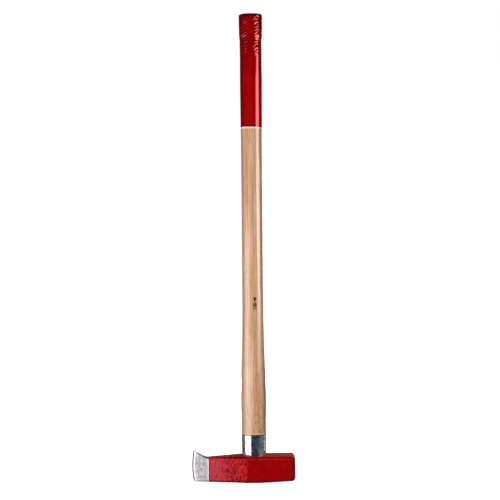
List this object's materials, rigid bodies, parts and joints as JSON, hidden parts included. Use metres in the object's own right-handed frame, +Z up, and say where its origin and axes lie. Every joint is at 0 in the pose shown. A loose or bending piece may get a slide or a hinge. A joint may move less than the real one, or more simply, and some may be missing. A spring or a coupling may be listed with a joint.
{
  "type": "splitting maul",
  "caption": "Two-handed splitting maul: wedge-shaped forged head with turning nose and flat poll, oval ash handle, steel guard sleeve next to the head, lacquered grip end.",
  "frame": {"origin": "on the handle's axis, in the plane of the head's underside, on which the maul stands", "axes": "+Z up along the handle from the head to the grip, -X towards the cutting edge, +X towards the striking face, Y across the cheeks"},
  "size_m": [0.1985, 0.056, 0.9],
  "materials": {
    "forged_steel": "bare ground steel, fine cross scratches",
    "red_paint": "gloss paint over a forged surface",
    "bright_sleeve": "bright plated sheet steel",
    "ash_wood": "sanded ash, thin clear varnish",
    "red_lacquer": "glossy dipped lacquer",
    "wedge_wood": "rough-sawn beech end grain",
    "wedge_steel": "rolled steel, dull"
  },
  "bodies": {
    "root": {"maul_head": "forged_steel", "head_paint": "red_paint", "handle_sleeve": "bright_sleeve", "handle": "ash_wood", "grip_lacquer": "red_lacquer", "timber_wedge": "wedge_wood", "steel_wedge_bit_side": "wedge_steel", "steel_wedge_poll_side": "wedge_steel"}
  },
  "joints": []
}
